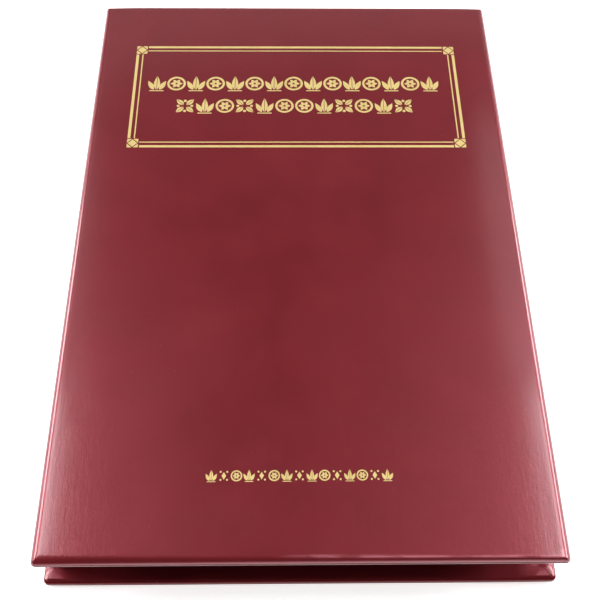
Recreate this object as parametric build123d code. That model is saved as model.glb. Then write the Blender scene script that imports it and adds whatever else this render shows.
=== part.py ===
"""Coin album: two padded leatherette covers, a set-in spine, a three-ring mechanism and five
coin pages.

Frame: millimetres. The closed album lies on its back cover. +X runs from the spine to the fore
edge, +Y from the foot to the head of the cover, +Z up out of the front cover. The origin is the
centre of the closed album's bottom face.
"""
from build123d import *
import math
import os

# ---- driving sizes: whole album -----------------------------------------------------------
COVER_WIDTH = 184.0       # spine edge to fore edge
COVER_HEIGHT = 274.0      # foot to head
ALBUM_THICKNESS = 27.0    # closed, over both covers

# ---- covers ---------------------------------------------------------------------------------
SKIN = 0.5                # leatherette and its glue, on every face it wraps
PAD = 1.0                 # foam between the board and the outer leatherette
BOARD = 2.0               # greyboard
OUTER_ROUND = 2.0         # roll of the outer edges over the foam
INNER_ROUND = 0.9         # roll of the turned-in edges
CORNER_ROUND = 2.2        # cover corners in plan
TURN_IN = 14.0            # leatherette folded onto the inner side
LINER = 0.3               # lining sheet over the turn-ins
LINER_INSET = 6.0         # bare turn-in between the lining and the cover's edge

# ---- gold foil border, pressed flush into the front leatherette --------------------------------
FOIL_DEPTH = 0.1
FOIL_WIDTH = 149.2        # over the corner squares
FOIL_HEIGHT = 62.4
FOIL_HEAD_MARGIN = 28.2   # head of the cover to the top of the border
FOIL_SQUARE = 4.9
FOIL_OUTER_LINE = 1.25
FOIL_INNER_LINE = 0.55
FOIL_LINE_GAP = 1.5
FOIL_SQUARE_GAP = 0.5     # the lines stop short of the squares

# ---- spine, set in between the covers -----------------------------------------------------------
SPINE_INSET = 4.6         # covers overhang the spine
SPINE_END_INSET = 6.0     # spine's ends to the covers' head and foot
SPINE_BOARD = 1.2
SPINE_SKIN = 0.4
SPINE_TURN_IN = 4.0
SPINE_ROUND = 0.6
SPINE_CORNER = 0.9
HINGE_CLOTH = 0.4         # flexible strips that join the spine to the covers
HINGE_CLOTH_MARGIN = 1.5
HINGE_GAP = 0.15          # each moving face to the hinge line

# ---- pages ------------------------------------------------------------------------------------
PAGES = 5
PAGE_HEIGHT = 244.0
PAGE_FORE_MARGIN = 8.0    # page edge to the cover's fore edge
PAGE_GAP = 0.15           # between pages, and under the lowest
WINDOW = 0.4              # clear sheet over each face of a page
WINDOW_INSET = 1.2
COIN_DIAMETER = 24.2
COIN_THICKNESS = 1.95
COIN_RIM = 1.1
COIN_RELIEF = 0.15        # field below the rim
PORT_CLEARANCE = 0.1      # round the coin, and over it
PORT_COLUMNS, PORT_ROWS = 4, 6
PORT_PITCH_X, PORT_PITCH_Y = 33.0, 38.5
STRIP = 0.7               # flexible binding strip
STRIP_SQUEEZE = 0.62      # the strips' pitch on the rings over the pages' pitch
STRIP_MARGIN = 4.2        # hole centre to the strip's inner edge
STRIP_FLAT = 4.0          # hole centre to the bend
STRIP_SEAT = 1.0          # level stretch against the page
HOLE_PLAY = 3.8           # page hole over the wire, for the open rings' tilt
HOLE_SHIFT = 1.0          # holes lie outside the wire's line so that open rings clear them

# ---- ring mechanism -----------------------------------------------------------------------------
RINGS = 3
RING_PITCH = 108.0
RING_SPINE_GAP = 2.5      # room for the open rings in front of the spine
RING_WIRE = 2.8
RING_COVER_GAP = 0.3      # top of the rings to the front lining
RING_END_X = 3.17         # wire's end to the mechanism's middle
RING_TIP_GAP = 0.1
HOUSING_WIDTH = 16.0
HOUSING_RISE = 3.4
HOUSING_SHEET = 0.6
HOUSING_END = 15.0        # outer ring to the housing's end
SLOT_INNER, SLOT_OUTER = 1.0, 6.6
SLOT_HALF = 2.6
BLADE_SHEET = 0.7
BLADE_LIFT = 1.0          # blade above the lining
BLADE_INNER, BLADE_OUTER = 0.3, 4.0
BLADE_END = 8.0           # outer ring to the blade's end
RIVET_DIAMETER = 3.0
RIVET_HEAD = 5.6
RIVET_HEAD_RISE = 0.7
RIVET_FOOT = 0.5
RIVET_PLACES = (-54.0, 54.0)
RIVET_CLEARANCE = 0.8     # blades round the rivets
LEVER_WIDTH = 5.0
LEVER_SHEET = 1.0
LEVER_RISE = 9.0
LEVER_TAB_WIDTH = 10.0
LEVER_PIN_INSET = 1.0     # pin to the housing's end
LEVER_PIN_LIFT = 1.3
LEVER_PIN_RADIUS = 0.7
LEVER_PIN_HALF = 5.0
LEVER_BARREL = 1.2
LEVER_FIT = 0.05

# ---- places that follow from the sizes above ---------------------------------------------------
COVER = 2 * SKIN + PAD + BOARD
MID_Z = ALBUM_THICKNESS / 2
SPINE_EDGE = -COVER_WIDTH / 2
FLOOR = COVER + LINER                        # what the pages and the mechanism lie on
CLOTH_TOP = COVER + HINGE_CLOTH
HINGE_Z = CLOTH_TOP + HINGE_GAP
SPINE_OUT = SPINE_EDGE + SPINE_INSET         # outer face of the spine, its cloth included
HINGE_X = SPINE_OUT - HINGE_GAP
SPINE_BODY = SPINE_BOARD + 2 * SPINE_SKIN
SPINE_IN = SPINE_OUT + HINGE_CLOTH + SPINE_BODY
SPINE_FOOT = HINGE_Z + HINGE_GAP
SPINE_SPAN = ALBUM_THICKNESS - 2 * SPINE_FOOT
SPINE_LENGTH = COVER_HEIGHT - 2 * SPINE_END_INSET
RING_OUTER = MID_Z - FLOOR - RING_COVER_GAP
RING_RADIUS = RING_OUTER - RING_WIRE / 2
RING_SWEEP = 180 - math.degrees(math.asin(RING_END_X / RING_RADIUS))
AXIS_X = SPINE_IN + RING_SPINE_GAP + RING_OUTER
HOLE_DIAMETER = RING_WIRE + HOLE_PLAY
RING_YS = [(i - (RINGS - 1) / 2) * RING_PITCH for i in range(RINGS)]
HOUSING_HALF = RING_YS[-1] + HOUSING_END
CORE = COIN_THICKNESS + PORT_CLEARANCE
PAGE = CORE + 2 * WINDOW
PAGE_PITCH = PAGE + PAGE_GAP
STRIP_RUN = RING_RADIUS + HOLE_SHIFT + STRIP_FLAT
PAGE_LEFT = AXIS_X + STRIP_RUN + 6.0
PAGE_RIGHT = COVER_WIDTH / 2 - PAGE_FORE_MARGIN
PAGE_MID_X = (PAGE_LEFT + PAGE_RIGHT) / 2

os.makedirs("parts", exist_ok=True)


def slab(x0, x1, y0, y1, z0, z1):
    """A box between two corners."""
    centre = Pos((x0 + x1) / 2, (y0 + y1) / 2, (z0 + z1) / 2)
    return centre * Box(x1 - x0, y1 - y0, z1 - z0)


def rod(x, y, z0, z1, radius):
    """An upright cylinder."""
    return Pos(x, y, (z0 + z1) / 2) * Cylinder(radius, z1 - z0)


def rolled_board(width, height, thickness, corner, outer, inner):
    """A plate whose z = 0 face has the outer roll and whose top face has the inner roll."""
    plate = extrude(RectangleRounded(width, height, corner), thickness)
    plate = fillet(plate.faces().sort_by(Axis.Z)[0].edges(), outer)
    return fillet(plate.faces().sort_by(Axis.Z)[-1].edges(), inner)


def wrapped_board(width, height, board, pad, skin, turn_in, corner, outer, inner):
    """Leatherette, board and foam of one cover, outer face at z = 0 and centred on the axis."""
    thickness = board + pad + 2 * skin
    whole = rolled_board(width, height, thickness, corner, outer, inner)
    cavity = Pos(0, 0, skin) * rolled_board(
        width - 2 * skin, height - 2 * skin, board + pad, corner - skin, outer - skin,
        inner - skin)
    window = Pos(0, 0, thickness - skin / 2) * Box(width - 2 * turn_in, height - 2 * turn_in, skin)
    pieces = {"skin": whole - cavity - window, "board": cavity}
    if pad:
        split = skin + pad
        pieces["board"] = cavity & slab(-width, width, -height, height, split, thickness)
        pieces["pad"] = cavity & slab(-width, width, -height, height, 0, split)
    return pieces


def flipped(solid):
    """The front cover's copy of a back cover piece."""
    return mirror(solid, Plane.XY.offset(MID_Z))


def lining():
    """Lining sheet over the turn-ins, with the stretch that fills their window."""
    sheet = slab(SPINE_IN + HINGE_GAP, COVER_WIDTH / 2 - LINER_INSET,
                 LINER_INSET - COVER_HEIGHT / 2, COVER_HEIGHT / 2 - LINER_INSET, COVER, FLOOR)
    filling = Pos(0, 0, COVER - SKIN / 2) * Box(
        COVER_WIDTH - 2 * TURN_IN, COVER_HEIGHT - 2 * TURN_IN, SKIN)
    return sheet + filling


def hinge_cloth():
    """Strip on the inner side of a cover, along its overhang."""
    half = SPINE_LENGTH / 2
    return slab(SPINE_EDGE + HINGE_CLOTH_MARGIN, HINGE_X, -half, half, COVER, CLOTH_TOP)


def foil_border():
    """Two nested line frames that stop short of four corner squares."""
    top = COVER_HEIGHT / 2 - FOIL_HEAD_MARGIN
    centre_y = top - FOIL_HEIGHT / 2
    reach_x = FOIL_WIDTH / 2
    reach_y = FOIL_HEIGHT / 2
    stop = FOIL_SQUARE + FOIL_SQUARE_GAP
    border = []
    for inset, line in ((0.0, FOIL_OUTER_LINE), (FOIL_OUTER_LINE + FOIL_LINE_GAP, FOIL_INNER_LINE)):
        middle = inset + line / 2
        for side in (-1, 1):
            border.append(Pos(0, side * (reach_y - middle)) * Rectangle(2 * (reach_x - stop), line))
            border.append(Pos(side * (reach_x - middle), 0) * Rectangle(line, 2 * (reach_y - stop)))
    place = FOIL_SQUARE / 2
    for x, y in ((-1, -1), (-1, 1), (1, -1), (1, 1)):
        spot = Pos(x * (reach_x - place), y * (reach_y - place))
        border.append(spot * Rectangle(FOIL_SQUARE, FOIL_SQUARE))
    base = Pos(0, centre_y, ALBUM_THICKNESS - FOIL_DEPTH)
    return [extrude(base * face, FOIL_DEPTH) for face in border]


def housing_arch(half_width, rise):
    """Cross-section under an arc that stands on the lining, as a face in the XZ plane."""
    arc = ThreePointArc((-half_width, 0), (0, rise), (half_width, 0))
    return make_face(Plane.XZ * (arc + Line((half_width, 0), (-half_width, 0))))


def along_y(face, half):
    """A face in the XZ plane drawn out to both sides, set on the mechanism's base line."""
    return Pos(AXIS_X, 0, FLOOR) * extrude(face, half, both=True)


def ring_housing():
    """Arched cover plate of the mechanism, open at the ends, with slots for the wires."""
    outer = along_y(housing_arch(HOUSING_WIDTH / 2, HOUSING_RISE), HOUSING_HALF)
    hollow = along_y(housing_arch(HOUSING_WIDTH / 2 - HOUSING_SHEET * 1.3,
                                  HOUSING_RISE - HOUSING_SHEET), HOUSING_HALF + 1)
    plate = outer - hollow
    for y in RING_YS:
        for side in (-1, 1):
            near, far = sorted((side * SLOT_INNER, side * SLOT_OUTER))
            plate -= slab(AXIS_X + near, AXIS_X + far, y - SLOT_HALF, y + SLOT_HALF,
                          FLOOR, FLOOR + HOUSING_RISE + 1)
    for y in RIVET_PLACES:
        plate -= rod(AXIS_X, y, FLOOR, FLOOR + HOUSING_RISE + 1, RIVET_DIAMETER / 2)
    return plate - lever_pin(-1) - lever_pin(1)


def rivet(y):
    """Rivet from the board's outer face up through the lining and the housing."""
    seat = FLOOR + HOUSING_RISE
    foot = SKIN + PAD
    shank = rod(AXIS_X, y, foot, seat, RIVET_DIAMETER / 2)
    head = rod(AXIS_X, y, seat, seat + RIVET_HEAD_RISE, RIVET_HEAD / 2)
    head = fillet(head.faces().sort_by(Axis.Z)[-1].edges(), RIVET_HEAD_RISE * 0.8)
    flange = rod(AXIS_X, y, foot - RIVET_FOOT, foot, RIVET_HEAD / 2)
    return shank + head + flange


def half_ring(side, y):
    """Half of a round ring, from its tip at the top down into the housing."""
    tip = math.degrees(RING_TIP_GAP / 2 / RING_RADIUS)
    spin = Axis((AXIS_X, y, MID_Z), (0, 1, 0))
    section = Plane(origin=(AXIS_X, y, MID_Z + RING_RADIUS), z_dir=(1, 0, 0)) * Circle(RING_WIRE / 2)
    wire = revolve(section, spin, RING_SWEEP - tip)
    start = tip if side > 0 else -RING_SWEEP
    return wire.rotate(spin, start)


def ring_blade(side, wires):
    """Long plate under the housing that carries one side's half rings."""
    half = RING_YS[-1] + BLADE_END
    near, far = sorted((side * BLADE_INNER, side * BLADE_OUTER))
    low = FLOOR + BLADE_LIFT
    plate = slab(AXIS_X + near, AXIS_X + far, -half, half, low, low + BLADE_SHEET)
    for y in RIVET_PLACES:
        plate -= rod(AXIS_X, y, FLOOR, FLOOR + HOUSING_RISE, RIVET_DIAMETER / 2 + RIVET_CLEARANCE)
    for wire in wires:
        plate -= wire
    return plate


def across_x(radius, half):
    """A rod across the mechanism, centred on the origin."""
    return Rot(0, 90, 0) * Cylinder(radius, 2 * half)


def lever_pin(side):
    """Cross pin that an end lever turns on."""
    y = side * (HOUSING_HALF - LEVER_PIN_INSET)
    return Pos(AXIS_X, y, FLOOR + LEVER_PIN_LIFT) * across_x(LEVER_PIN_RADIUS, LEVER_PIN_HALF)


def end_lever(side):
    """Thumb lever at one end of the mechanism: a barrel on the pin, an arm and a tab."""
    pin_y = side * (HOUSING_HALF - LEVER_PIN_INSET)
    pin_z = FLOOR + LEVER_PIN_LIFT
    half = LEVER_WIDTH / 2
    barrel = Pos(AXIS_X, pin_y, pin_z) * across_x(LEVER_BARREL, half)
    tab_near = side * (HOUSING_HALF + 0.4)
    tab_far = tab_near + side * LEVER_SHEET
    arm_low, arm_high = pin_z - LEVER_SHEET / 2, pin_z + LEVER_SHEET / 2
    arm = slab(AXIS_X - half, AXIS_X + half, *sorted((pin_y, tab_far)), arm_low, arm_high)
    wide = LEVER_TAB_WIDTH / 2
    tab = slab(AXIS_X - wide, AXIS_X + wide, *sorted((tab_near, tab_far)), arm_low,
               FLOOR + LEVER_RISE)
    upper = tab.edges().filter_by(Axis.Y).sort_by(Axis.Z)[-2:]
    tab = fillet(upper, LEVER_TAB_WIDTH / 3)
    bore = Pos(AXIS_X, pin_y, pin_z) * across_x(LEVER_PIN_RADIUS + LEVER_FIT, half + 1)
    return barrel + arm + tab - bore


def coin():
    """Blank coin with a raised rim, standing on z = 0."""
    blank = Pos(0, 0, COIN_THICKNESS / 2) * Cylinder(COIN_DIAMETER / 2, COIN_THICKNESS)
    field = COIN_DIAMETER / 2 - COIN_RIM
    blank -= Pos(0, 0, COIN_THICKNESS - COIN_RELIEF / 2) * Cylinder(field, COIN_RELIEF)
    return blank - Pos(0, 0, COIN_RELIEF / 2) * Cylinder(field, COIN_RELIEF)


def binding_strip(page_z):
    """Flexible strip from the page's edge down or up to its level on the rings."""
    ring_z = MID_Z + (page_z - MID_Z) * STRIP_SQUEEZE
    reach = math.sqrt(RING_RADIUS ** 2 - (ring_z - MID_Z) ** 2)
    hole_x = AXIS_X + reach + HOLE_SHIFT
    inner = hole_x - STRIP_MARGIN
    bend = AXIS_X + STRIP_RUN
    seat = PAGE_LEFT - STRIP_SEAT
    half = STRIP / 2
    outline = Polyline((inner, ring_z - half), (bend, ring_z - half), (seat, page_z - half),
                       (PAGE_LEFT, page_z - half), (PAGE_LEFT, page_z + half), (seat, page_z + half),
                       (bend, ring_z + half), (inner, ring_z + half), close=True)
    strip = extrude(make_face(Plane.XZ * outline), PAGE_HEIGHT / 2, both=True)
    for y in RING_YS:
        strip -= rod(hole_x, y, FLOOR, ALBUM_THICKNESS, HOLE_DIAMETER / 2)
    return strip


def page_pieces(number):
    """Core with coin ports, two windows, binding strip and coins of one page."""
    low = FLOOR + PAGE_GAP + (number - 1) * PAGE_PITCH
    core_low = low + WINDOW
    core_high = core_low + CORE
    half = PAGE_HEIGHT / 2
    core = slab(PAGE_LEFT, PAGE_RIGHT, -half, half, core_low, core_high)
    spots = [Pos(PAGE_MID_X, 0) * spot
             for spot in GridLocations(PORT_PITCH_X, PORT_PITCH_Y, PORT_COLUMNS, PORT_ROWS)]
    port = Cylinder(COIN_DIAMETER / 2 + PORT_CLEARANCE, CORE)
    core -= [Pos(0, 0, core_low + CORE / 2) * spot * port for spot in spots]
    edge = WINDOW_INSET
    window = (PAGE_LEFT + edge, PAGE_RIGHT - edge, edge - half, half - edge)
    return {
        "core": core,
        "back_window": slab(*window, low, core_low),
        "front_window": slab(*window, core_high, core_high + WINDOW),
        "binding_strip": binding_strip((core_low + core_high) / 2),
        "coins": Compound([Pos(0, 0, core_low) * spot * coin() for spot in spots]),
    }


def covers():
    """Both covers, their linings and hinge strips, and the foil border."""
    pieces = wrapped_board(COVER_WIDTH, COVER_HEIGHT, BOARD, PAD, SKIN, TURN_IN,
                           CORNER_ROUND, OUTER_ROUND, INNER_ROUND)
    foil = foil_border()
    nodes = {
        "front_cover_leatherette": flipped(pieces["skin"]) - foil,
        "front_cover_board": flipped(pieces["board"]),
        "front_cover_foam": flipped(pieces["pad"]),
        "front_cover_lining": flipped(lining()),
        "front_hinge_cloth": flipped(hinge_cloth()),
        "foil_border": Compound(foil),
        "back_cover_leatherette": pieces["skin"],
        "back_hinge_cloth": hinge_cloth(),
    }
    shanks = [rod(AXIS_X, y, 0, FLOOR, RIVET_DIAMETER / 2) for y in RIVET_PLACES]
    feet = [rod(AXIS_X, y, SKIN + PAD - RIVET_FOOT, SKIN + PAD, RIVET_HEAD / 2)
            for y in RIVET_PLACES]
    nodes["back_cover_board"] = pieces["board"] - shanks
    nodes["back_cover_foam"] = pieces["pad"] - feet
    nodes["back_cover_lining"] = lining() - shanks
    return nodes


def spine():
    """Spine board in its leatherette, upright between the covers, with its outer cloth."""
    pieces = wrapped_board(SPINE_SPAN, SPINE_LENGTH, SPINE_BOARD, 0.0, SPINE_SKIN, SPINE_TURN_IN,
                           SPINE_CORNER, SPINE_ROUND, SPINE_ROUND)
    upright = Pos(SPINE_OUT + HINGE_CLOTH, 0, MID_Z) * Rot(0, 90, 0)
    filling = Pos(0, 0, SPINE_BODY - SPINE_SKIN / 2) * Box(
        SPINE_SPAN - 2 * SPINE_TURN_IN, SPINE_LENGTH - 2 * SPINE_TURN_IN, SPINE_SKIN)
    half = SPINE_LENGTH / 2
    return {
        "spine_leatherette": upright * pieces["skin"],
        "spine_board": upright * pieces["board"],
        "spine_lining": upright * filling,
        "spine_hinge_cloth": slab(SPINE_OUT, SPINE_OUT + HINGE_CLOTH, -half, half,
                                  SPINE_FOOT, SPINE_FOOT + SPINE_SPAN),
    }


def mechanism():
    """Housing, rivets, half rings, blades and end levers."""
    nodes = {"ring_housing": ring_housing(),
             "housing_rivets": Compound([rivet(y) for y in RIVET_PLACES]),
             "lever_pins": Compound([lever_pin(-1), lever_pin(1)]),
             "foot_lever": end_lever(-1),
             "head_lever": end_lever(1)}
    for name, side in (("left", -1), ("right", 1)):
        wires = [half_ring(side, y) for y in RING_YS]
        nodes[f"{name}_ring_blade"] = ring_blade(side, wires)
        for number, wire in enumerate(wires, 1):
            nodes[f"{name}_half_ring_{number}"] = wire
    return nodes


def pages():
    """All pages, the lowest first."""
    return {f"page_{number}_{piece}": solid
            for number in range(1, PAGES + 1)
            for piece, solid in page_pieces(number).items()}


for name, solid in {**covers(), **spine(), **mechanism(), **pages()}.items():
    export_step(solid, f"parts/{name}.step")
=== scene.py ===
"""Looks of the coin album: padded leatherette covers with gold tooling, cloth hinges, coin pages.

Lengths are in millimetres until make() turns a mesh into metres.
"""
import math

import bpy
import numpy as np
from mathutils import Matrix, Vector


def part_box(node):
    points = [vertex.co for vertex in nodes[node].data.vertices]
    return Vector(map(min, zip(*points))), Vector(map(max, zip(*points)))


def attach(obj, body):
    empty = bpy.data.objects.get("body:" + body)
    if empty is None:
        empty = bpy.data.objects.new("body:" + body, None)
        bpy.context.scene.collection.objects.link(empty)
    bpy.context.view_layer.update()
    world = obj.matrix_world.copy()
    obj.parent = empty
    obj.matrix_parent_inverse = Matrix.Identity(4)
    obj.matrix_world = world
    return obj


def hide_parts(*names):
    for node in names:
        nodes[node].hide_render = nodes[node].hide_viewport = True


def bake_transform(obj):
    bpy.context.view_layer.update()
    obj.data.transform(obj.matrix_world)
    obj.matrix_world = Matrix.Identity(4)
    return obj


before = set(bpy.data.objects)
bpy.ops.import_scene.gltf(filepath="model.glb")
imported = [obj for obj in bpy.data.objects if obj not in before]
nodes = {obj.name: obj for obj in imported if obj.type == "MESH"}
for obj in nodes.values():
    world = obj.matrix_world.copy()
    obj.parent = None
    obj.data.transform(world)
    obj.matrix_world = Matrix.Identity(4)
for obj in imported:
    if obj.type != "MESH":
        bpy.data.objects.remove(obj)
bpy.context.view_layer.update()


def span(node):
    """Lowest and highest corner of a CAD node, in mm."""
    low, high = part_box(node)
    return np.array(low) * 1000, np.array(high) * 1000


def make(name, points, faces, material, smooth=True):
    """A mesh object from points in mm."""
    mesh = bpy.data.meshes.new(name)
    mesh.from_pydata((np.asarray(points, float) / 1000).tolist(), [], [list(f) for f in faces])
    mesh.validate()
    mesh.polygons.foreach_set("use_smooth", [smooth] * len(mesh.polygons))
    mesh.materials.append(material)
    made = bpy.data.objects.new(name, mesh)
    bpy.context.scene.collection.objects.link(made)
    return made


# ---- material nodes -------------------------------------------------------------------------
class Shade:
    """A material under construction; object coordinates in metres drive every pattern."""

    def __init__(self, name, **fixed):
        self.material = bpy.data.materials.new(name)
        self.material.use_nodes = True
        self.tree = self.material.node_tree
        self.shader = self.tree.nodes["Principled BSDF"]
        for key, value in fixed.items():
            self.shader.inputs[key.replace("_", " ")].default_value = value
        self.coords = self.add("ShaderNodeTexCoord").outputs["Object"]

    def add(self, kind, sockets=None, **settings):
        node = self.tree.nodes.new(kind)
        for key, value in settings.items():
            setattr(node, key, value)
        for key, value in (sockets or {}).items():
            if isinstance(value, bpy.types.NodeSocket):
                self.tree.links.new(value, node.inputs[key])
            else:
                node.inputs[key].default_value = value
        return node

    def math(self, operation, *values):
        node = self.add("ShaderNodeMath", dict(enumerate(values)), operation=operation)
        return node.outputs[0]

    def stretched(self, x, y, z):
        """Coordinates scaled per axis."""
        node = self.add("ShaderNodeMapping", {"Vector": self.coords, "Scale": (x, y, z)})
        return node.outputs[0]

    def noise(self, scale, detail=2.0, roughness=0.5, at=None):
        node = self.add("ShaderNodeTexNoise", {
            "Vector": at or self.coords, "Scale": scale, "Detail": detail, "Roughness": roughness})
        return node.outputs["Fac"]

    def cells(self, scale, feature="DISTANCE_TO_EDGE", output="Distance", at=None):
        node = self.add("ShaderNodeTexVoronoi", {"Vector": at or self.coords, "Scale": scale},
                        feature=feature)
        return node.outputs[output]

    def ramp(self, fac, *stops):
        """Colour ramp; a stop is (place, grey or colour)."""
        node = self.add("ShaderNodeValToRGB", {"Fac": fac})
        elements = node.color_ramp.elements
        while len(elements) < len(stops):
            elements.new(0.5)
        for element, (place, colour) in zip(elements, stops):
            element.position = place
            if isinstance(colour, (int, float)):
                colour = (colour, colour, colour)
            element.color = (*colour, 1.0)
        return node.outputs["Color"]

    def mix(self, fac, first, second, blend="MIX"):
        node = self.add("ShaderNodeMix", data_type="RGBA", blend_type=blend)
        for index, value in ((0, fac), (6, first), (7, second)):
            if isinstance(value, bpy.types.NodeSocket):
                self.tree.links.new(value, node.inputs[index])
            elif index:
                node.inputs[index].default_value = (*value, 1.0)
            else:
                node.inputs[index].default_value = value
        return node.outputs[2]

    def attribute(self, name):
        return self.add("ShaderNodeAttribute", attribute_name=name).outputs["Fac"]

    def feed(self, **sockets):
        for key, value in sockets.items():
            self.tree.links.new(value, self.shader.inputs[key.replace("_", " ")])

    def bump(self, *layers):
        """Bump layers as (height socket, depth in metres), the first one lowest."""
        normal = None
        for height, depth in layers:
            sockets = {"Height": height, "Distance": depth, "Strength": 1.0}
            if normal:
                sockets["Normal"] = normal
            normal = self.add("ShaderNodeBump", sockets).outputs[0]
        self.feed(Normal=normal)
        return self.material


def leatherette(name, coat, specular):
    """Smooth maroon book leatherette: fine grain, soft mottling, scuffs where it is worn, and a painted
    highlight along the front cover's foot.
    """
    s = Shade(name, IOR=1.7, Specular_Tint=(1.0, 0.25, 0.32, 1.0), Coat_Weight=coat,
              Coat_Roughness=0.145, Coat_IOR=1.6, Specular_IOR_Level=specular)
    mottle = s.noise(38, 4, 0.6)
    colour = s.ramp(mottle, (0.3, (0.126, 0.0052, 0.0078)), (0.7, (0.160, 0.0080, 0.0112)))
    grain = s.cells(2300)
    pores = s.ramp(grain, (0.0, 0.0), (0.25, 1.0))
    colour = s.mix(0.12, colour, s.mix(pores, (0.09, 0.003, 0.005), (0.165, 0.011, 0.015)))
    rubbed = s.ramp(s.math("MULTIPLY", s.attribute("wear"), s.noise(420, 5, 0.65)),
                    (0.36, 0.0), (0.62, 1.0))
    colour = s.mix(s.math("MULTIPLY", rubbed, 0.55), colour, (0.62, 0.30, 0.33))
    dust = s.ramp(s.cells(210, "F1"), (0.0, 1.0), (0.055, 0.0))
    dusty = s.math("MULTIPLY", dust, s.ramp(s.noise(55, 1), (0.50, 0.0), (0.62, 0.5)))
    colour = s.mix(dusty, colour, (0.55, 0.32, 0.33))
    # painted highlight: a broken light line mixed into the colour along the front cover's foot, where a
    # raised edge would catch the light
    broken = s.ramp(s.noise(1, 3, 0.6, at=s.stretched(90, 400, 400)), (0.40, 0.25), (0.55, 1.0))
    painted_ridge_highlight = s.math("MULTIPLY", s.attribute("painted_ridge_highlight"), broken)
    colour = s.mix(s.math("MULTIPLY", painted_ridge_highlight, 0.8), colour, (0.60, 0.20, 0.24))
    s.feed(Base_Color=colour,
           Roughness=s.ramp(s.noise(22, 5, 0.6), (0.3, 0.30), (0.7, 0.38)))
    creases = s.math("MULTIPLY", s.noise(1, 3, 0.7, at=s.stretched(820, 150, 150)),
                     s.attribute("crease"))
    return s.bump((s.noise(75, 3, 0.5), 0.00006), (creases, 0.00017), (s.noise(650, 3, 0.6), 0.00003),
                  (pores, 0.000012))


def gold_foil():
    """Hot-stamped gold foil: bright, a little orange-peeled from the leatherette below."""
    s = Shade("gold_foil", Metallic=0.4, IOR=1.5)
    s.feed(Base_Color=s.ramp(s.noise(160, 3), (0.3, (0.82, 0.62, 0.24)), (0.7, (0.90, 0.70, 0.29))),
           Roughness=s.ramp(s.noise(500, 4, 0.7), (0.3, 0.36), (0.7, 0.5)))
    return s.bump((s.noise(900, 2), 0.00002), (s.cells(2300), 0.000015))


def book_cloth():
    """Woven hinge cloth in the covers' colour."""
    s = Shade("book_cloth", IOR=1.46, Sheen_Weight=0.04, Sheen_Roughness=0.5)
    warp = s.add("ShaderNodeTexWave", {"Vector": s.coords, "Scale": 330.0, "Distortion": 0.6,
                                       "Detail": 1.0}, bands_direction="Y").outputs["Fac"]
    weft = s.add("ShaderNodeTexWave", {"Vector": s.stretched(1, 0.15, 1), "Scale": 330.0,
                                       "Distortion": 0.8, "Detail": 1.0},
                 bands_direction="DIAGONAL").outputs["Fac"]
    weave = s.math("MAXIMUM", warp, weft)
    base = s.ramp(s.noise(60, 4), (0.3, (0.060, 0.007, 0.011)), (0.7, (0.085, 0.011, 0.016)))
    s.feed(Base_Color=s.mix(s.math("MULTIPLY", weave, 0.4), base, (0.15, 0.025, 0.035)),
           Roughness=s.ramp(weave, (0.0, 0.85), (1.0, 0.68)))
    return s.bump((s.noise(120, 3), 0.0001), (weave, 0.00007))


def moire_paper(name, dark, light):
    """Lining paper with a watered-silk print."""
    s = Shade(name, IOR=1.45)
    bend = s.add("ShaderNodeTexWave", {"Vector": s.stretched(1, 0.22, 1), "Scale": 55.0,
                                       "Distortion": 9.0, "Detail": 3.0, "Detail Scale": 0.7},
                 bands_direction="X").outputs["Fac"]
    rib = s.add("ShaderNodeTexWave", {"Vector": s.coords, "Scale": 300.0},
                bands_direction="Y").outputs["Fac"]
    s.feed(Base_Color=s.mix(s.math("MULTIPLY", rib, 0.2), s.ramp(bend, (0.25, dark), (0.8, light)),
                            light),
           Roughness=s.ramp(bend, (0.2, 0.62), (0.8, 0.42)))
    return s.bump((s.noise(240, 4), 0.00003), (rib, 0.00002))


def nickel(name, tint, low, high, brushed):
    """Plated or brushed steel with handling marks."""
    s = Shade(name, Metallic=1.0)
    streaks = s.noise(1, 4, 0.7, at=s.stretched(*brushed))
    s.feed(Base_Color=s.mix(s.noise(90, 3), tint, tuple(0.82 * c for c in tint)),
           Roughness=s.ramp(s.math("MULTIPLY", streaks, s.math("ADD", s.noise(160, 5, 0.7), 0.5)),
                            (0.3, low), (0.75, high)))
    return s.bump((streaks, 0.000008), (s.noise(260, 3), 0.00001))


def page_board():
    """Black page core with fine silver rings printed round the coin ports."""
    s = Shade("page_board", IOR=1.5)
    coins_low, coins_high = span("page_1_coins")
    axes = s.add("ShaderNodeSeparateXYZ", {"Vector": s.coords}).outputs
    offsets = []
    for axis, count in ((0, COLUMNS), (1, ROWS)):
        pitch = (coins_high[axis] - coins_low[axis] - COIN) / (count - 1) / 1000
        first = (coins_low[axis] + COIN / 2) / 1000
        turns = s.math("DIVIDE", s.math("SUBTRACT", axes[axis], first), pitch)
        port = s.math("MINIMUM", s.math("MAXIMUM", s.math("ROUND", turns), 0.0), count - 1.0)
        offsets.append(s.math("MULTIPLY", s.math("SUBTRACT", turns, port), pitch))
    away = s.math("SQRT", s.math("ADD", s.math("MULTIPLY", offsets[0], offsets[0]),
                                 s.math("MULTIPLY", offsets[1], offsets[1])))
    radius, half_line = 0.0137, 0.00028
    ring = s.math("SUBTRACT", half_line, s.math("ABSOLUTE", s.math("SUBTRACT", away, radius)))
    line = s.math("GREATER_THAN", ring, 0.0)
    base = s.ramp(s.noise(70, 4), (0.3, (0.010, 0.010, 0.012)), (0.7, (0.020, 0.019, 0.022)))
    s.feed(Base_Color=s.mix(line, base, (0.46, 0.43, 0.36)),
           Roughness=s.ramp(s.noise(30, 4), (0.3, 0.42), (0.7, 0.58)))
    return s.bump((s.noise(300, 2), 0.00003), (s.noise(1400, 2), 0.00002))


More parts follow.
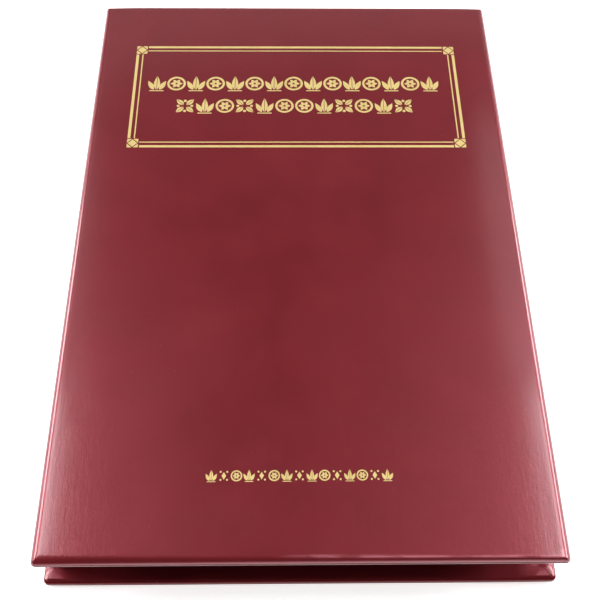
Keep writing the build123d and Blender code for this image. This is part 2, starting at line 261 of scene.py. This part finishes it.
def clear_sheet():
    """Clear stiff film over a page's face, with faint haze and rubbing marks."""
    s = Shade("clear_sheet", Base_Color=(0.95, 0.96, 0.97, 1.0), IOR=1.5)
    marks = s.ramp(s.noise(1, 5, 0.8, at=s.stretched(700, 45, 45)), (0.55, 0.0), (0.75, 1.0))
    s.feed(Roughness=s.ramp(s.noise(30, 4), (0.3, 0.05), (0.7, 0.16)),
           Alpha=s.math("ADD", s.math("MULTIPLY", marks, 0.03), 0.09))
    return s.bump((s.noise(18, 2), 0.0002))


def soft_vinyl():
    """Black flexible binding strip with a fine embossed grain."""
    s = Shade("soft_vinyl", IOR=1.5)
    grain = s.cells(1500)
    s.feed(Base_Color=s.ramp(s.noise(80, 3), (0.3, (0.012, 0.012, 0.014)), (0.7, (0.028, 0.027, 0.03))),
           Roughness=s.ramp(grain, (0.0, 0.6), (0.3, 0.38)))
    return s.bump((s.noise(200, 3), 0.00005), (grain, 0.00003))


def coin_metal():
    """Circulated silver: bright on the relief, toned in the field."""
    s = Shade("coin_metal", Metallic=1.0)
    toning = s.noise(120, 4, 0.6)
    relief = s.attribute("relief")
    dull = s.ramp(toning, (0.3, (0.34, 0.31, 0.27)), (0.7, (0.52, 0.50, 0.47)))
    s.feed(Base_Color=s.mix(relief, dull, (0.80, 0.79, 0.77)),
           Roughness=s.ramp(s.math("ADD", s.math("MULTIPLY", relief, -0.3), s.noise(900, 4)),
                            (0.1, 0.22), (0.7, 0.42)))
    return s.bump((s.noise(700, 4, 0.7), 0.00002))


def plain_fibre(name, dark, light, scale):
    """Board or foam, seen only where a cut shows it."""
    s = Shade(name, IOR=1.4)
    s.feed(Base_Color=s.ramp(s.noise(scale, 5, 0.7), (0.3, dark), (0.7, light)),
           Roughness=s.ramp(s.noise(scale * 2, 3), (0.3, 0.8), (0.7, 0.95)))
    return s.bump((s.noise(scale * 3, 3), 0.0001))


# ---- padded covers --------------------------------------------------------------------------
ROLL, ROLL_DROP = 3.0, 2.2          # how far the front cover's outer edge rolls, in and down
BACK_ROLL_DROP = 0.9                # the same, down, on the back cover with its sharper edges
UNDER_ROUND = 0.9                   # lower arris of a cover's side
CORNER = 1.6                        # cover corners in plan
DULL_LOOPS = (1, 5)                 # dull loops of faces down a cover's side, counted from 0
TURN_IN = 14.0                      # leatherette folded onto the inner side
SKIN = 0.5                          # leatherette's thickness, shown where the turn-in ends
TURN_IN_LOOPS = (1.2, 1.7, 2.3, 3.0, 3.8, 4.7, 5.6, 7.5, 10.0, TURN_IN)
NEAR_EDGE = np.array([0.0, 0.12, 0.28, 0.5, 0.75, 1.05, 1.4, 1.8, 2.3, 2.9, 3.6, 4.6, 6.0, 8.0,
                      10.5, 13.5, 17.0, 21.0])


def grid_line(half):
    """Grid places across a cover, close together near both edges."""
    inner = half - NEAR_EDGE[-1]
    middle = np.linspace(-inner, inner, 2 * int(inner / 4) + 1)
    return np.concatenate([NEAR_EDGE[:-1] - half, middle, half - NEAR_EDGE[-2::-1]])


def soft_min(a, b, reach):
    """The smaller of two distances, rounded where they are nearly equal."""
    share = np.clip(0.5 + 0.5 * (b - a) / reach, 0, 1)
    return b * (1 - share) + a * share - reach * share * (1 - share)


class Pad:
    """Outer face of one cover: how far it lies below the plane of its highest points.

    dents are (x, y, depth, reach); near_scale and near_taper tighten the roll along the foot.
    """

    def __init__(self, node, dents, roll_drop, near_scale, near_taper=0.0):
        low, high = span(node)
        self.half = (high - low)[:2] / 2
        self.depth = (high - low)[2]
        self.dents = dents
        self.roll_drop = roll_drop
        self.near_scale = near_scale
        self.near_taper = near_taper

    def edge(self, x, y):
        """Distance to the nearest edge, with a mitre crease at the corners."""
        dx, dy = self.half[0] - np.abs(x), self.half[1] - np.abs(y)
        tighter = np.clip((x + self.half[0]) / (2 * self.half[0]), 0, 1) * self.near_taper
        dy = np.where(y < 0, dy * (self.near_scale + tighter), dy)
        return np.maximum(soft_min(dx, dy, 0.35), 0)

    def drop(self, x, y):
        d = self.edge(x, y)
        roll = self.roll_drop * (1 - np.sqrt(1 - (1 - np.minimum(d, ROLL) / ROLL) ** 2))
        near = np.clip(1 - (self.half[0] - np.abs(x)) / 22, 0, 1)
        crown = 0.42 * near ** 2 + 0.12 * np.clip(1 - d / 8, 0, 1) ** 2
        wave = 0.035 * (2 + np.sin(x / 19 + 0.9) * np.cos(y / 31 + 0.4) + np.sin(y / 23 + x / 60))
        wave = wave * np.clip(d / 6, 0, 1)
        for px, py, depth, reach in self.dents:
            wave = wave + depth * np.exp(-((x - px) ** 2 + (y - py) ** 2) / reach ** 2)
        return roll + crown + wave


def rounded(x, y, half):
    """Pulls the square corners of a grid in to a quarter circle in plan."""
    a = np.abs(x) - (half[0] - CORNER)
    b = np.abs(y) - (half[1] - CORNER)
    inside = (a > 0) & (b > 0)
    factor = np.where(inside, np.maximum(a, b) / np.maximum(np.hypot(a, b), 1e-9), 1.0)
    new_x = np.where(inside, np.sign(x) * (half[0] - CORNER + a * factor), x)
    new_y = np.where(inside, np.sign(y) * (half[1] - CORNER + b * factor), y)
    return new_x, new_y


def turn_in_wrinkle(x, y, half, t):
    """Folded leatherette on the inner side: pleats at the corners, small waves along the edges."""
    run = np.where(half[0] - np.abs(x) < half[1] - np.abs(y), y, x)
    cx, cy = half[0] - np.abs(x), half[1] - np.abs(y)
    fold = 6 * (cx / 3.4) ** 1.6 * np.exp(1.6 * (1 - cx / 3.4))
    pleat = 0.32 / (1 + np.exp((cy - fold) / 0.22)) * np.exp(-(cx / 13) ** 4)
    waves = 0.05 * (1 + np.sin(run / 3.1 + 1.3 * np.sin(run / 11))) * np.exp(-np.abs(t - 3) / 3)
    return (pleat + waves) * np.clip(t / 1.2, 0, 1) * np.clip((7.5 - t) / 3, 0, 1)


def cover(name, node, outward, pad, material):
    """Closed skin of one cover. outward is +1 where its outer face looks up."""
    low, high = span(node)
    outer_z = high[2] if outward > 0 else low[2]
    half = pad.half
    gx, gy = np.meshgrid(grid_line(half[0]), grid_line(half[1]), indexing="ij")
    across, along = gx.shape
    drop = pad.drop(gx, gy)
    rx, ry = rounded(gx, gy, half)
    points = np.stack([rx, ry, drop], axis=-1).reshape(-1, 3)
    number = np.arange(across * along).reshape(across, along)
    faces = [(number[i, j], number[i + 1, j], number[i + 1, j + 1], number[i, j + 1])
             for i in range(across - 1) for j in range(along - 1)]
    rim = np.concatenate([number[:-1, 0], number[-1, :-1], number[:0:-1, -1], number[0, :0:-1]])
    rim_x, rim_y = points[rim, 0], points[rim, 1]
    loops = []
    start = drop.reshape(-1)[rim]
    for share in (0.5, 1.0):
        side = start + (pad.depth - UNDER_ROUND - start) * share
        loops.append((0.0, side))
    for degrees in (22.5, 45, 67.5, 90):
        angle = math.radians(degrees)
        loops.append((UNDER_ROUND * (1 - math.cos(angle)),
                      pad.depth - UNDER_ROUND * (1 - math.sin(angle)) + 0 * start))
    for t in TURN_IN_LOOPS:
        ix, iy = rim_x * (1 - t / half[0]), rim_y * (1 - t / half[1])
        loops.append((t, pad.depth + turn_in_wrinkle(ix, iy, half, t)))
    loops.append((TURN_IN, pad.depth - SKIN + 0 * start))
    previous = rim
    for t, depth in loops:
        loop = np.stack([rim_x * (1 - t / half[0]), rim_y * (1 - t / half[1]), depth], axis=-1)
        current = np.arange(len(points), len(points) + len(loop))
        points = np.concatenate([points, loop])
        faces += [(previous[k], current[k], current[k - 1], previous[k - 1])
                  for k in range(len(rim))]
        previous = current
    faces.append(tuple(previous[::-1]))
    if outward < 0:
        faces = [tuple(f)[::-1] for f in faces]
    first_side = (across - 1) * (along - 1)
    side_faces = range(*(first_side + loop * len(rim) for loop in DULL_LOOPS))
    placed = points.copy()
    placed[:, 2] = outer_z - outward * points[:, 2]
    made = make(name, placed, faces, material)
    made.data.materials.append(LEATHER_SIDE)
    for index in side_faces:
        made.data.polygons[index].material_index = 1
    edge = pad.edge(points[:, 0], points[:, 1])
    arris = np.exp(-((edge - 1.3) / 1.1) ** 2) * (points[:, 2] < ROLL_DROP)
    foot = np.clip((-pad.half[1] + 6 - points[:, 1]) / 4, 0, 1)
    wear = arris * np.where(foot > 0, 0.4, 0.55)
    # mask of the painted highlight: a thin line on the roll along the foot, fading in from x = -8 mm
    painted_ridge_highlight = np.exp(-((edge - 2.9) / 0.55) ** 2) * (points[:, 2] < ROLL_DROP) * (foot > 0)
    painted_ridge_highlight = painted_ridge_highlight * (np.abs(points[:, 1] + pad.half[1]) < 4) * np.clip((points[:, 0] + 8) / 14, 0, 1)
    sides = np.clip((np.abs(points[:, 0]) - 52) / 40, 0, 1) ** 1.6
    crease = sides * np.clip((-60 - points[:, 1]) / 40, 0, 1) * (points[:, 2] < ROLL_DROP)
    for key, values in (("wear", wear), ("crease", crease), ("painted_ridge_highlight", painted_ridge_highlight)):
        made.data.attributes.new(key, "FLOAT", "POINT").data.foreach_set(
            "value", values.astype(np.float32))
    return made


# ---- gold tooling ---------------------------------------------------------------------------
FOIL_PROUD, FOIL_SUNK = 0.035, 0.08     # foil above and below the leatherette's surface
SQUARE, SQUARE_STOP = 4.9, 5.4          # corner squares, and where the border's lines stop
BORDER_LINES = ((0.0, 1.25), (2.75, 0.55))      # inset and width of each line


class Tooling:
    """Flat outlines that become thin foil lying on the front cover."""

    def __init__(self):
        self.points, self.faces = [], []

    def patch(self, outline):
        """One filled outline, anticlockwise."""
        first = len(self.points)
        self.points += [tuple(p) for p in outline]
        self.faces.append(tuple(range(first, first + len(outline))))

    def bar(self, x0, y0, x1, y1):
        """Straight line, divided so that it follows the cover."""
        count = max(1, round(max(x1 - x0, y1 - y0) / 3))
        first = len(self.points)
        for step in range(count + 1):
            share = step / count
            if x1 - x0 > y1 - y0:
                x = x0 + (x1 - x0) * share
                self.points += [(x, y0), (x, y1)]
            else:
                y = y0 + (y1 - y0) * share
                self.points += [(x1, y), (x0, y)]
        for step in range(count):
            a = first + 2 * step
            self.faces.append((a, a + 2, a + 3, a + 1))

    def ring(self, x, y, outer, inner, count=28):
        first = len(self.points)
        for step in range(count):
            angle = 2 * math.pi * step / count
            c, s = math.cos(angle), math.sin(angle)
            self.points += [(x + inner * c, y + inner * s), (x + outer * c, y + outer * s)]
        for step in range(count):
            a, b = first + 2 * step, first + 2 * ((step + 1) % count)
            self.faces.append((a, a + 1, b + 1, b))

    def disc(self, x, y, radius, count=14):
        self.patch([(x + radius * math.cos(2 * math.pi * k / count),
                     y + radius * math.sin(2 * math.pi * k / count)) for k in range(count)])

    def leaf(self, x, y, length, width, degrees, split=0.0):
        """Pointed leaf from its stalk end at (x, y), halved by a bare midrib if split."""
        c, s = math.cos(math.radians(degrees)), math.sin(math.radians(degrees))
        steps = np.linspace(0, 1, 9)
        bulge = width / 2 * np.sin(math.pi * steps ** 0.85)
        halves = []
        for side in (-1, 1):
            rib = [(length * t, side * split / 2) for t in steps[1:-1]]
            edge = [(length * t, side * max(b, split / 2)) for t, b in zip(steps, bulge)]
            halves.append((edge, rib))
        if split:
            outlines = [edge + rib[::-1] for edge, rib in halves]
        else:
            outlines = [halves[0][0] + halves[1][0][-2:0:-1]]
        for outline in outlines:
            turned = [(x + u * c - v * s, y + u * s + v * c) for u, v in outline]
            area = sum(p[0] * q[1] - q[0] * p[1] for p, q in zip(turned, turned[1:] + turned[:1]))
            self.patch(turned if area > 0 else turned[::-1])

    def lozenge(self, x, y, wide, tall):
        self.patch([(x - wide / 2, y), (x, y - tall / 2), (x + wide / 2, y), (x, y + tall / 2)])

    def build(self, name, pad, top, material):
        """Thin closed plates, their upper side just proud of the leatherette."""
        flat = np.array(self.points)
        height = top - pad.drop(flat[:, 0], flat[:, 1])
        count = len(flat)
        points = np.concatenate([np.column_stack([flat, height + FOIL_PROUD]),
                                 np.column_stack([flat, height - FOIL_SUNK])])
        used = {(a, b) for f in self.faces for a, b in zip(f, f[1:] + f[:1])}
        walls = [(b, a, a + count, b + count) for a, b in used if (b, a) not in used]
        under = [tuple(k + count for k in f[::-1]) for f in self.faces]
        return make(name, points, self.faces + under + sorted(walls), material, smooth=False)


def border(low, high):
    """Double frame with a diamond in each corner square."""
    art = Tooling()
    stop = SQUARE_STOP
    for inset, width in BORDER_LINES:
        for x0, x1 in ((low[0] + inset, low[0] + inset + width),
                       (high[0] - inset - width, high[0] - inset)):
            art.bar(x0, low[1] + stop, x1, high[1] - stop)
        for y0, y1 in ((low[1] + inset, low[1] + inset + width),
                       (high[1] - inset - width, high[1] - inset)):
            art.bar(low[0] + stop, y0, high[0] - stop, y1)
    gap, reach = 0.26, SQUARE / 2
    for x in (low[0] + reach, high[0] - reach):
        for y in (low[1] + reach, high[1] - reach):
            inner = 2 * (reach - 0.35)
            art.lozenge(x, y, inner, inner)
            leg = reach - gap
            for sx, sy in ((1, 1), (-1, 1), (-1, -1), (1, -1)):
                corner = [(x + sx * reach, y + sy * reach), (x + sx * (reach - leg), y + sy * reach),
                          (x + sx * reach, y + sy * (reach - leg))]
                art.patch(corner if sx * sy > 0 else corner[::-1])
    return art


def frieze(x0, x1, y0, y1, count, kinds):
    """A row of ornaments between two heights: coin discs, leaf sprays and lozenges in turn."""
    art = Tooling()
    tall, middle = y1 - y0, (y0 + y1) / 2
    pitch = (x1 - x0) / count
    for place in range(count):
        x = x0 + pitch * (place + 0.5)
        kind = kinds[min(place, count - 1 - place) % len(kinds)]
        if kind == "disc":
            art.ring(x, middle, 0.45 * tall, 0.34 * tall)
            for petal in range(6):
                c, s = math.cos(math.radians(60 * petal)), math.sin(math.radians(60 * petal))
                art.leaf(x + 0.04 * tall * c, middle + 0.04 * tall * s, 0.26 * tall, 0.16 * tall,
                         60 * petal)
        elif kind == "spray":
            foot = y0 + 0.09 * tall
            art.leaf(x, foot, 0.9 * tall, 0.3 * tall, 90, 0.025 * tall)
            for side in (-1, 1):
                art.leaf(x + side * 0.13 * tall, foot, 0.66 * tall, 0.25 * tall, 90 - side * 27)
            art.bar(x - 0.34 * tall, y0, x + 0.34 * tall, y0 + 0.06 * tall)
        elif kind == "lozenge":
            art.lozenge(x, middle, 0.36 * tall, 0.62 * tall)
            for angle in (45, 135, 225, 315):
                c, s = math.cos(math.radians(angle)), math.sin(math.radians(angle))
                art.disc(x + 0.36 * tall * c, middle + 0.46 * tall * s, 0.08 * tall)
        elif kind == "quatrefoil":
            for angle in (45, 135, 225, 315):
                c, s = math.cos(math.radians(angle)), math.sin(math.radians(angle))
                art.leaf(x + 0.1 * tall * c, middle + 0.1 * tall * s, 0.5 * tall, 0.27 * tall,
                         angle, 0.025 * tall)
            for angle in (0, 90, 180, 270):
                c, s = math.cos(math.radians(angle)), math.sin(math.radians(angle))
                art.disc(x + 0.33 * tall * c, middle + 0.33 * tall * s, 0.075 * tall)
    return art


# ---- cloth hinges ---------------------------------------------------------------------------
def hinge_strip(name, path, thickness, y_half, material):
    """Cloth strip drawn along Y: path holds (x, z) along the middle of its cross-section."""
    path = np.array(path, float)
    tangent = np.gradient(path, axis=0)
    tangent /= np.linalg.norm(tangent, axis=1)[:, None]
    across = np.column_stack([-tangent[:, 1], tangent[:, 0]]) * thickness / 2
    loop = np.concatenate([path + across, (path - across)[::-1]])
    rows = 90
    ys = np.linspace(-y_half, y_half, rows + 1)
    points = np.array([(x, y, z) for y in ys for x, z in loop])
    size = len(loop)
    faces = [(r * size + k, r * size + (k + 1) % size, (r + 1) * size + (k + 1) % size,
              (r + 1) * size + k) for r in range(rows) for k in range(size)]
    faces += [tuple(range(size))[::-1], tuple(range(rows * size, (rows + 1) * size))]
    return make(name, points, faces, material, smooth=False)


def hinge(name, cover_node, body, towards):
    """One cloth from a cover's overhang round the corner to the middle of the spine."""
    low, high = span(cover_node)
    spine_low, spine_high = span("spine_hinge_cloth")
    thickness = high[2] - low[2]
    middle = (low[2] + high[2]) / 2
    x = (spine_low[0] + spine_high[0]) / 2
    reach = (spine_high[2] - spine_low[2]) / 2
    end = middle + towards * (abs((spine_low[2] + spine_high[2]) / 2 - middle) - 0.05)
    bend = 0.42
    path = [(low[0] + (x - bend - low[0]) * t, middle) for t in np.linspace(0, 1, 7)]
    for degrees in (15, 30, 45, 60, 75):
        a = math.radians(degrees)
        path.append((x - bend + bend * math.sin(a), middle + towards * bend * (1 - math.cos(a))))
    path += [(x, middle + towards * bend + (end - middle - towards * bend) * t)
             for t in np.linspace(0, 1, 12)]
    strip = hinge_strip(name, path, thickness * 0.92, high[1], CLOTH)
    on_cover = np.array([x - 0.45, 0, middle - towards * 0.1]) / 1000
    on_spine = np.array([x + 0.05, 0, middle + towards * 0.75]) / 1000
    start, end = (on_cover, on_spine) if body[1] == "spine" else (on_spine, on_cover)
    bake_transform(strip)
    return strip


def spine_skin():
    """Leatherette round the spine board: rounded long edges, turned in on the inner side."""
    low, high = span("spine_leatherette")
    deep = high[0] - low[0]
    half = np.array([(high[2] - low[2]) / 2, (high[1] - low[1]) / 2])
    middle = (low[2] + high[2]) / 2
    outline = []
    radius = 0.55
    section = []
    for cx, cz, start in ((deep - radius, half[0] - radius, 0), (radius, half[0] - radius, 90),
                          (radius, radius - half[0], 180), (deep - radius, radius - half[0], 270)):
        for step in range(5):
            a = math.radians(start + 22.5 * step)
            section.append((cx + radius * math.cos(a), cz + radius * math.sin(a)))
    rows = 110
    ys = np.linspace(-half[1], half[1], rows + 1)
    for y in ys:
        tight = max(0.0, 1 - (half[1] - abs(y)) / 0.9)
        for sx, sz in section:
            shrink = 0.35 * tight ** 2
            wave = 0.03 * math.sin(y / 4.1 + sz) * math.sin(y / 13)
            px = deep / 2 + (sx - deep / 2) * (1 - shrink / deep)
            inner = 1 if sx > deep / 2 else 0
            outline.append((low[0] + min(deep, px + inner * wave - inner * 0.03), y,
                            middle + sz * (1 - shrink / half[0])))
    size = len(section)
    faces = [(r * size + (k + 1) % size, r * size + k, (r + 1) * size + k,
              (r + 1) * size + (k + 1) % size) for r in range(rows) for k in range(size)]
    faces += [tuple(range(size)), tuple(range(rows * size, (rows + 1) * size))[::-1]]
    return make("spine_skin", outline, faces, LEATHER)


# ---- coins ----------------------------------------------------------------------------------
COIN, COIN_THICKNESS = 24.2, 1.95
COLUMNS, ROWS = 4, 6                # ports of one page
RELIEF = 0.15                       # the field lies this far below the rim


def coin_height(radius, angle):
    """Relief above the field at one point: rim, beads, a leaf wreath and a rosette."""
    rim = np.clip((radius - 10.9) / 0.25, 0, 1) * RELIEF
    wreath_turn = np.abs(((angle * 20 / (2 * math.pi)) % 1) - 0.5) * 2
    band = np.clip(1 - np.abs(radius - 8.3) / 1.5, 0, 1)
    wreath = 0.11 * np.clip(1.25 * band - 0.75 * wreath_turn, 0, 1)
    petal = np.cos(angle * 8) * 0.5 + 0.5
    reach = 2.2 + 3.0 * petal
    rosette = 0.12 * np.clip((reach - radius) / 1.6, 0, 1) * (0.55 + 0.45 * petal)
    heart = 0.04 * np.clip((1.3 - radius) / 0.4, 0, 1)
    return rim + wreath + rosette + heart


def coin_template():
    """One coin centred on the origin, standing on z = 0: points, faces, relief."""
    radii = [1.1, 2.2, 3.3, 4.4, 5.4, 6.7, 7.6, 8.4, 9.2, 10.0, 10.85, 11.15, 11.8, COIN / 2]
    turns = 80
    thick = COIN_THICKNESS
    points, relief = [(0.0, 0.0, thick)], [1.0]
    faces = []
    for face in (1, -1):
        for r in radii:
            for k in range(turns):
                a = 2 * math.pi * k / turns
                h = float(coin_height(r, a)) - RELIEF
                fall = 0.12 if r == radii[-1] else 0.0
                z = thick + h - fall if face > 0 else -h + fall
                bead = 0.06 if r == radii[9] and k % 2 else 0.0
                points.append((r * math.cos(a), r * math.sin(a), z + face * bead))
                relief.append(min(1.0, max(0.0, (h + RELIEF + bead) / 0.12)))
    points.append((0.0, 0.0, 0.0))
    relief.append(1.0)
    rings = len(radii)
    back = 1 + rings * turns
    for k in range(turns):
        n = (k + 1) % turns
        faces.append((0, 1 + k, 1 + n))
        faces.append((len(points) - 1, back + n, back + k))
        for ring in range(rings - 1):
            a, b = 1 + ring * turns, 1 + (ring + 1) * turns
            faces.append((a + k, b + k, b + n, a + n))
            a, b = back + ring * turns, back + (ring + 1) * turns
            faces.append((a + n, b + n, b + k, a + k))
        a, b = 1 + (rings - 1) * turns, back + (rings - 1) * turns
        faces.append((a + k, b + k, b + n, a + n))
    return np.array(points), np.array(faces, dtype=object), np.array(relief)


def coin_set(number, template):
    """All coins of one page in one mesh, each turned a little differently."""
    points, faces, relief = template
    low, high = span(f"page_{number}_coins")
    columns = np.linspace(low[0] + COIN / 2, high[0] - COIN / 2, COLUMNS)
    rows = np.linspace(low[1] + COIN / 2, high[1] - COIN / 2, ROWS)
    all_points, all_faces = [], []
    for i, x in enumerate(columns):
        for j, y in enumerate(rows):
            turn = 0.9 * math.sin(7.3 * i + 3.1 * j + number)
            c, s = math.cos(turn), math.sin(turn)
            moved = points.copy()
            moved[:, 0] = x + points[:, 0] * c - points[:, 1] * s
            moved[:, 1] = y + points[:, 0] * s + points[:, 1] * c
            moved[:, 2] += low[2]
            first = len(all_points) * len(points)
            all_points.append(moved)
            all_faces += [tuple(k + first for k in f) for f in faces]
    made = make(f"page_{number}_coin_set", np.concatenate(all_points), all_faces, COIN_METAL)
    made.data.attributes.new("relief", "FLOAT", "POINT").data.foreach_set(
        "value", np.tile(relief, len(all_points)).astype(np.float32))
    return made


# ---- materials and CAD nodes that keep their shape ------------------------------------------
LEATHER = leatherette("leatherette", 0.75, 1.0)
LEATHER_SIDE = leatherette("leatherette_side", 0.0, 0.05)
CLOTH = book_cloth()
GOLD = gold_foil()
COIN_METAL = coin_metal()
LINING = moire_paper("lining_paper", (0.030, 0.004, 0.007), (0.075, 0.012, 0.018))
NICKEL = nickel("nickel_plate", (0.76, 0.75, 0.72), 0.10, 0.26, (60, 60, 60))
BLADE = nickel("brushed_steel", (0.56, 0.56, 0.57), 0.26, 0.42, (1500, 40, 900))
keeping = {
    "_lining": LINING, "_board": plain_fibre("greyboard", (0.30, 0.27, 0.23), (0.40, 0.37, 0.32), 300),
    "_core": page_board(), "_window": clear_sheet(), "_binding_strip": soft_vinyl(),
    "_blade": BLADE, "ring_housing": NICKEL, "_rivets": NICKEL, "_pins": NICKEL,
    "_lever": NICKEL, "_half_ring_": NICKEL,
}
for node_name, node in nodes.items():
    for ending, material in keeping.items():
        if node_name.endswith(ending) or (ending == "_half_ring_" and ending in node_name):
            node.data.materials.clear()
            node.data.materials.append(material)

# ---- pieces ---------------------------------------------------------------------------------
front_pad = Pad("front_cover_leatherette", [(-80.5, -78, 0.10, 2.4), (58, -62, 0.05, 5.0),
                                            (-20, 20, 0.04, 9.0)],
                roll_drop=ROLL_DROP, near_scale=0.82, near_taper=1.1)
back_pad = Pad("back_cover_leatherette", [(30, 40, 0.05, 8.0)],
               roll_drop=BACK_ROLL_DROP, near_scale=3.2)
front = cover("front_cover_skin", "front_cover_leatherette", 1, front_pad, LEATHER)
back = cover("back_cover_skin", "back_cover_leatherette", -1, back_pad, LEATHER)
for skin, side in ((front, "front_cover"), (back, "back_cover")):
    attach(skin, side)
    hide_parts(f"{side}_leatherette", f"{side}_foam")

foil_low, foil_high = span("foil_border")
front_top = span("front_cover_leatherette")[1][2]
artwork = {
    "gold_frame": border(foil_low, foil_high),
    "gold_frieze_upper": frieze(-68.3, 66, 80.0, 89.5, 15, ("spray", "disc")),
    "gold_frieze_lower": frieze(-54.8, 53, 66.3, 75.6, 12, ("quatrefoil", "spray", "disc")),
    "gold_frieze_foot": frieze(-34, 33, -108.2, -103.6, 15, ("spray", "lozenge", "disc")),
}
for piece_name, art in artwork.items():
    foil = art.build(piece_name, front_pad, front_top, GOLD)
    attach(foil, "front_cover")
    if piece_name == "gold_frame":
        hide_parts("foil_border")

lower_hinge = hinge("back_hinge_strip", "back_hinge_cloth", ("back_cover", "spine"), 1)
upper_hinge = hinge("front_hinge_strip", "front_hinge_cloth", ("spine", "front_cover"), -1)
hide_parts("back_hinge_cloth", "spine_hinge_cloth")
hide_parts("front_hinge_cloth")

spine_piece = spine_skin()
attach(spine_piece, "spine")
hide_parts("spine_leatherette")

one_coin = coin_template()
for page in range(1, 6):
    coins = coin_set(page, one_coin)
    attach(coins, f"page_{page}" if page > 2 else "back_cover")
    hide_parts(f"page_{page}_coins")

# ---- floor, light and camera ----------------------------------------------------------------
floor_shade = Shade("floor", Base_Color=(0.93, 0.93, 0.93, 1.0), Roughness=0.7,
                    Emission_Color=(1.0, 1.0, 1.0, 1.0), Emission_Strength=0.72)
floor = make("floor", [(-4000, -4000, -0.05), (4000, -4000, -0.05), (4000, 4000, -0.05),
                       (-4000, 4000, -0.05)], [(0, 1, 2, 3)], floor_shade.material, smooth=False)


def softbox(name, place, aim, size, power):
    """Rectangular area light at place, turned to aim, its second side along Y; metres, watts."""
    data = bpy.data.lights.new(name, "AREA")
    data.shape = "RECTANGLE"
    data.size, data.size_y = size
    data.energy = power
    light = bpy.data.objects.new(name, data)
    bpy.context.scene.collection.objects.link(light)
    back = (Vector(place) - Vector(aim)).normalized()
    right = Vector((0, 1, 0)).cross(back).normalized()
    axes = Matrix((right, back.cross(right), back)).transposed()
    light.matrix_world = Matrix.Translation(place) @ axes.to_4x4()


for side_name, side, inner, far_inner, far_power in (("left", -1, 0.40, 0.40, 0.42),
                                                     ("right", 1, 0.43, 0.37, 0.60)):
    at, far_at = side * (inner + 0.17), side * (far_inner + 0.17)
    softbox(f"{side_name}_near_strip", (at, 0.21, 1.0), (at * 0.7, 0.2, 0), (0.34, 0.46), 3.5)
    softbox(f"{side_name}_far_strip", (far_at, 0.72, 1.0), (far_at * 0.7, 0.6, 0), (0.34, 0.5), far_power)
    softbox(f"{side_name}_box", (side * 1.15, 0.3, 0.66), (0, 0, 0.02), (0.34, 1.1), 15)
softbox("far_box", (0.2, 1.75, 1.15), (0, 0, 0.02), (2.6, 0.6), 2.3)

world = bpy.data.worlds.new("studio")
bpy.context.scene.world = world
world.use_nodes = True
tree = world.node_tree
height = tree.nodes.new("ShaderNodeSeparateXYZ")
tree.links.new(tree.nodes.new("ShaderNodeTexCoord").outputs["Generated"], height.inputs[0])
sky = tree.nodes.new("ShaderNodeValToRGB")
for stop, (place, grey) in zip(sky.color_ramp.elements, ((0.10, 0.85), (0.26, 0.06))):
    stop.position, stop.color = place, (grey, grey, grey, 1.0)
tree.links.new(height.outputs["Z"], sky.inputs["Fac"])
tree.links.new(sky.outputs["Color"], tree.nodes["Background"].inputs["Color"])
bpy.context.scene.view_settings.view_transform = "Standard"

camera = bpy.data.objects.new("camera", bpy.data.cameras.new("camera"))
bpy.context.scene.collection.objects.link(camera)
# the photograph's view, solved on the covers' edges
camera.data.sensor_width = 36.0
camera.data.lens = 57.55
turn = Matrix(((0.999857, 0.002598, -0.016716), (-0.011056, 0.848260, -0.529466),
               (0.012804, 0.529574, 0.848167)))
camera.matrix_world = Matrix.Translation((-0.005845, -0.233253, 0.348431)) @ turn.to_4x4()
camera.data.clip_start = 0.01
camera.data.clip_end = 50.0
bpy.context.scene.camera = camera
